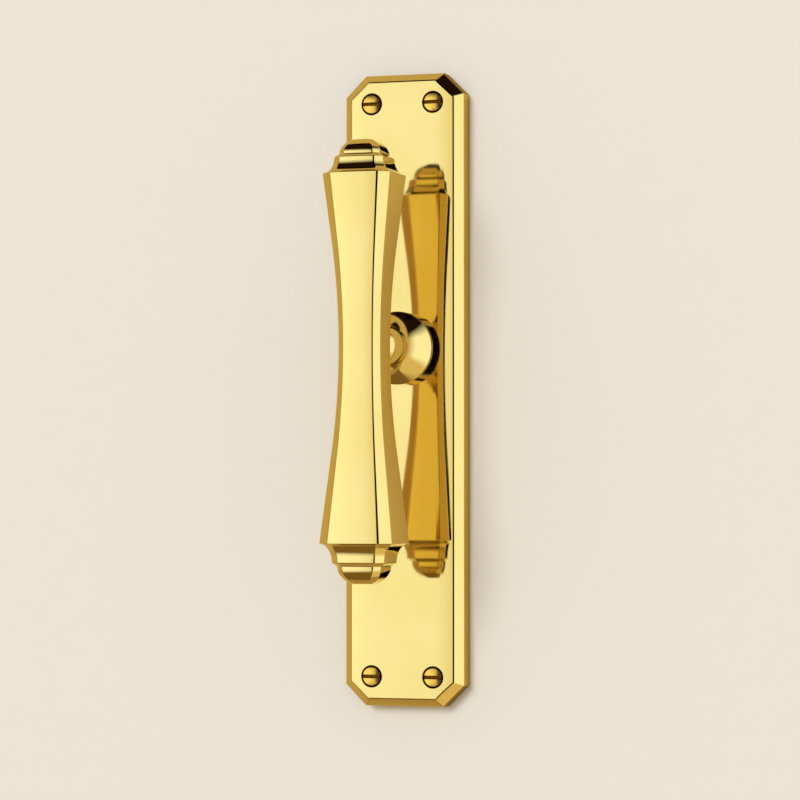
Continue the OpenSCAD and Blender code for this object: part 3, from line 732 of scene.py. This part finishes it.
for side_z in (-1, 1):
    patch = set(faces_of_dome())
    parts = list(patch | {e for f in patch for e in f.edges} | {v for f in patch for v in f.verts})
    bmesh.ops.bisect_plane(screw, geom=parts, dist=ON_PLANE, plane_co=(0, 0, side_z * SLOT_W / 2 * MM),
                           plane_no=(0, 0, 1))
strip = [f for f in faces_of_dome() if abs(f.calc_center_median().z) < SLOT_W / 2 * MM]
pushed = bmesh.ops.extrude_face_region(screw, geom=strip)["geom"]
slot_y = (screw_y + SLOT_FLOOR) * MM
bmesh.ops.scale(screw, vec=(1, 0, 1), space=Matrix.Translation((0, -slot_y, 0)),
                verts=[v for v in pushed if isinstance(v, bmesh.types.BMVert)])
bmesh.ops.delete(screw, geom=[f for f in strip if f.is_valid], context="FACES")
for face in screw.faces:
    middle = face.calc_center_median() / MM
    in_slot = abs(middle.z) < SLOT_W / 2 + TOUCH and middle.y < screw_y + SLOT_FLOOR + TOUCH
    if in_slot or screw_y + SINK_DARK < middle.y < 0:
        face.material_index = SAWN
print("slotted screw:", len(screw.faces), "faces")

# %% Cut the thread and repeat the screw
THREAD_PITCH = 1.8
THREAD_STEPS = 24
THREAD_ROOT = CORE_R - 0.1
THREAD_FROM, THREAD_CREST, THREAD_TO = 0.05, 0.3 * THREAD_PITCH, 0.6 * THREAD_PITCH

turns = int((screw_tip - POINT_L) / THREAD_PITCH)
flank = [screw.verts.new((r * MM, y * MM, 0)) for r, y in (
    (THREAD_ROOT, THREAD_FROM), (SCREW_SHANK_R, THREAD_CREST), (THREAD_ROOT, THREAD_TO))]
triangle = screw.faces.new(flank)
bmesh.ops.spin(screw, geom=[triangle] + list(triangle.edges) + flank, cent=(0, 0, 0), axis=(0, 1, 0),
               angle=2 * math.pi * turns, steps=THREAD_STEPS * turns,
               dvec=(0, THREAD_PITCH * MM / THREAD_STEPS, 0))
pattern = bpy.data.meshes.new("screw_pattern")
screw.to_mesh(pattern)
screw.free()
screws = bmesh.new()
for x, z in screw_places:
    before = set(screws.verts)
    screws.from_mesh(pattern)
    new = [v for v in screws.verts if v not in before]
    bmesh.ops.translate(screws, vec=(x * MM, 0, z * MM), verts=new)
bpy.data.meshes.remove(pattern)
hand_over(screws, "plate_screws", "plate", ("turned_brass", "sawn_brass"))

# %% [markdown]
# ## Wall and floor
# The bolt is fixed to a flat sash, so a plain painted wall stands behind it and catches its shadow. A
# mortise behind the plate leaves room for the gear. Both sheets are one-sided: from behind they let the
# eye through, so that the working side of the part can be looked at. Only the camera sees the wall's own
# pale paint. Every other ray sees a painted tan with painted shade that darkens it towards its foot. It
# stands in for the warm, half-lit room that the side faces of the real bolt mirror. A plain floor lies well
# below.

# %% Mix the paint
PAINT_ROUGHNESS, PAINT_SHINE = 0.9, 0.2
# Heights of the wall, in metres, over which the painted shade at its foot fades into the lighter tan.
FOOT_SHADE = (-0.15, -0.125)


def make_paint(name, colour, painted_shade_tones=None):
    material, tree, shader = new_material(name)
    shader.inputs["Base Color"].default_value = linear(colour)
    shader.inputs["Roughness"].default_value = PAINT_ROUGHNESS
    shader.inputs["Specular IOR Level"].default_value = PAINT_SHINE
    paint = shader.outputs["BSDF"]
    # All rays but the camera's see the wall in painted shade: a tan darker than the paint, and darker still
    # towards its foot. Only the camera sees the paint as written.
    if painted_shade_tones:
        place = add_node(tree, "SeparateXYZ", {0: add_node(tree, "TexCoord").outputs["Object"]})
        share = add_node(tree, "MapRange", {"Value": place.outputs["Z"], "From Min": FOOT_SHADE[0],
                                            "From Max": FOOT_SHADE[1]})
        tones = add_node(tree, "ValToRGB", {"Fac": share.outputs["Result"]})
        set_ramp(tones.color_ramp, [(0.0, linear(painted_shade_tones[0])), (1.0, linear(painted_shade_tones[1]))])
        warm = add_node(tree, "BsdfDiffuse", {"Color": tones.outputs["Color"]})
        direct = add_node(tree, "LightPath").outputs["Is Camera Ray"]
        seen = add_node(tree, "MixShader", {0: direct, 1: warm.outputs["BSDF"], 2: paint})
        paint = seen.outputs["Shader"]
    behind = add_node(tree, "NewGeometry").outputs["Backfacing"]
    clear = add_node(tree, "BsdfTransparent")
    one_sided = add_node(tree, "MixShader", {0: behind, 1: paint, 2: clear.outputs["BSDF"]})
    tree.links.new(one_sided.outputs["Shader"], tree.nodes["Material Output"].inputs["Surface"])
    return material


# The two tan tones are painted shade for what the brass mirrors. The darker one is at the wall's foot.
wall_paint_and_painted_shade = make_paint("wall_paint_and_painted_shade", "#EBE6DB", ("#B0945A", "#CDB26E"))
floor_paint = make_paint("floor_paint", "#E4DED2")
print("paints:", wall_paint_and_painted_shade.name, floor_paint.name)

# %% Lay the wall and the floor
WALL_AT, WALL_HALF = Vector((0, 0.0002, 1.0)), 1.5
FLOOR_AT, FLOOR_HALF = Vector((0, 0, -0.5)), 3.0
MORTISE_RIM = 1.5


def lay_sheet(name, turn, place, half, paint, mortise=None):
    sheet = bmesh.new()
    bmesh.ops.create_grid(sheet, x_segments=1, y_segments=1, size=half)
    bmesh.ops.rotate(sheet, cent=(0, 0, 0), matrix=Matrix.Rotation(turn, 3, "X"), verts=sheet.verts)
    bmesh.ops.translate(sheet, vec=place, verts=sheet.verts)
    if mortise:
        for edge in (Vector((mortise[0], 0, 0)), Vector((0, 0, mortise[1]))):
            for at in (-edge, edge):
                everything = sheet.verts[:] + sheet.edges[:] + sheet.faces[:]
                bmesh.ops.bisect_plane(sheet, geom=everything, dist=ON_PLANE, plane_co=at * MM,
                                       plane_no=edge)
        middle = min(sheet.faces, key=lambda face: face.calc_center_median().length)
        bmesh.ops.delete(sheet, geom=[middle], context="FACES")
    mesh = bpy.data.meshes.new(name)
    sheet.to_mesh(mesh)
    sheet.free()
    mesh.materials.append(paint)
    stage = bpy.data.objects.new(name, mesh)
    bpy.context.scene.collection.objects.link(stage)
    return stage


mortise = (half_w - MORTISE_RIM, half_h - PLATE_CORNER)
lay_sheet("wall", math.radians(90), WALL_AT, WALL_HALF, wall_paint_and_painted_shade, mortise)
floor = lay_sheet("floor", 0, FLOOR_AT, FLOOR_HALF, floor_paint)
floor.visible_glossy = False
print("stage: wall and floor")

# %% [markdown]
# ## Studio light
# A mirror shows its surroundings, so the studio is laid out for what each face reflects. The front
# faces look to the left of the camera, where a large soft panel hangs. The right-hand bevels look far
# to the right, at a second panel. Between the two it is dark, which draws the fine dark lines along the
# edges. Above the panels the studio is dark as well, and below them it is brown. All this is a sky made
# of ramps, two round the horizon and one from floor to ceiling. Only reflections see it. Matt surfaces
# are lit by a plain soft dome, so that paint keeps its written colour, and the camera sees plain white.

# %% Choose the tones of the studio
def grey(level):
    return (level, level, level, 1.0)


def panel(level):
    return (level, level, 0.80 * level, 1.0)


def warm(level):
    return (level, 0.91 * level, 0.58 * level, 1.0)


DARK, NIGHT, TAN = linear("#1E0F06"), linear("#0E0603"), linear("#B79462")
BROWN, SAND = linear("#806331"), linear("#E6CC88")
BELOW_DEG, ABOVE_DEG = (-41, -25), (22, 39)
ROUND = [(-180, grey(0.8)), (-125, grey(0.8)), (-100, TAN), (-75, TAN), (-55, panel(0.93)),
         (-44, panel(1.36)), (-32, panel(1.27)), (-24, panel(1.17)), (-14, panel(1.10)), (-6, warm(1.0)),
         (-3, warm(0.89)), (-1, warm(0.74)), (2, NIGHT), (43, NIGHT), (48, panel(1.14)), (80, panel(1.18)),
         (92, TAN), (110, TAN), (135, grey(0.8)), (180, grey(0.8))]
GROUND = [(-180, BROWN), (15, BROWN), (55, SAND), (110, SAND), (150, BROWN), (180, BROWN)]
UPRIGHT = [(-90, grey(0)), (BELOW_DEG[0], grey(0)), (BELOW_DEG[1], grey(1)), (ABOVE_DEG[0], grey(1)),
           (ABOVE_DEG[1], DARK), (90, DARK)]
print("studio:", len(ROUND), "tones round,", len(GROUND), "below,", len(UPRIGHT), "upright")

# %% Measure the directions of the sky
RIGHT_DEG = (30, 45)
RIGHT_LIFT = 0.72

world = bpy.data.worlds.new("studio")
bpy.context.scene.world = world
world.use_nodes = True
sky = world.node_tree
direction = add_node(sky, "SeparateXYZ", {0: add_node(sky, "TexCoord").outputs["Generated"]})
towards = add_node(sky, "Math", {0: direction.outputs["Y"], 1: -1.0}, operation="MULTIPLY")
around = add_node(sky, "Math", {0: direction.outputs["X"], 1: towards.outputs[0]}, operation="ARCTAN2")
upward = add_node(sky, "Math", {0: direction.outputs["Z"]}, operation="ARCSINE")
lift = add_node(sky, "MapRange", {"Value": around.outputs[0], "From Min": math.radians(RIGHT_DEG[0]),
                                  "From Max": math.radians(RIGHT_DEG[1]), "To Min": 1.0,
                                  "To Max": RIGHT_LIFT})
lifted = add_node(sky, "Math", {0: upward.outputs[0], 1: lift.outputs["Result"]}, operation="MULTIPLY")
level = add_node(sky, "Math", {0: upward.outputs[0], 1: lifted.outputs[0]}, operation="MINIMUM")
print("sky:", len(sky.nodes), "nodes measure its directions")

# %% Hang the panels
SOFT_LEVEL = 0.62


def angle_ramp(angle, half_turn_deg, stops):
    half_turn = math.radians(half_turn_deg)
    share = add_node(sky, "MapRange", {"Value": angle, "From Min": -half_turn, "From Max": half_turn})
    ramp = add_node(sky, "ValToRGB", {"Fac": share.outputs["Result"]})
    set_ramp(ramp.color_ramp, [((at + half_turn_deg) / (2 * half_turn_deg), tone) for at, tone in stops])
    return ramp.outputs["Color"]


horizon = angle_ramp(around.outputs[0], 180, ROUND)
ground = angle_ramp(around.outputs[0], 180, GROUND)
height_mask = angle_ramp(level.outputs[0], 90, UPRIGHT)
low_mask = add_node(sky, "MapRange", {"Value": upward.outputs[0], "From Min": math.radians(BELOW_DEG[1]),
                                      "From Max": math.radians(BELOW_DEG[0])})
lower = add_node(sky, "VectorMath", {0: ground, "Scale": low_mask.outputs["Result"]}, operation="SCALE")
glow = add_node(sky, "VectorMath", {0: horizon, 1: height_mask, 2: lower.outputs["Vector"]},
                operation="MULTIPLY_ADD")
studio = add_node(sky, "Background", {"Color": glow.outputs["Vector"], "Strength": 1.0})
plain = add_node(sky, "Background", {"Color": grey(1.0), "Strength": 1.0})
soft = add_node(sky, "Background", {"Color": grey(1.0), "Strength": SOFT_LEVEL})
ray = add_node(sky, "LightPath")
lit = add_node(sky, "MixShader", {0: ray.outputs["Is Glossy Ray"], 1: soft.outputs[0],
                                  2: studio.outputs[0]})
mixed = add_node(sky, "MixShader", {0: ray.outputs["Is Camera Ray"], 1: lit.outputs[0],
                                    2: plain.outputs[0]})
sky.links.new(mixed.outputs[0], sky.nodes["World Output"].inputs["Surface"])
print("panels hung:", len(sky.nodes), "nodes in the sky")

# %% [markdown]
# One broad lamp from the front, a little above and to the left, gives the bolt its soft shadow on the
# wall. A mirror would show the lamp as a hard spot, so reflections don't see it.

# %% Set the key lamp
SUN_TOWARDS = Vector((0.2, 0.93, -0.3))
SUN_LEVEL = 1.4
SUN_WIDTH_DEG = 24

sun = bpy.data.objects.new("key", bpy.data.lights.new("key", "SUN"))
sun.data.energy = SUN_LEVEL
sun.data.angle = math.radians(SUN_WIDTH_DEG)
sun.rotation_euler = SUN_TOWARDS.to_track_quat("-Z", "Y").to_euler()
sun.visible_glossy = False
bpy.context.scene.collection.objects.link(sun)
print(f"key lamp: {sun.data.energy:.1f} W per square metre")
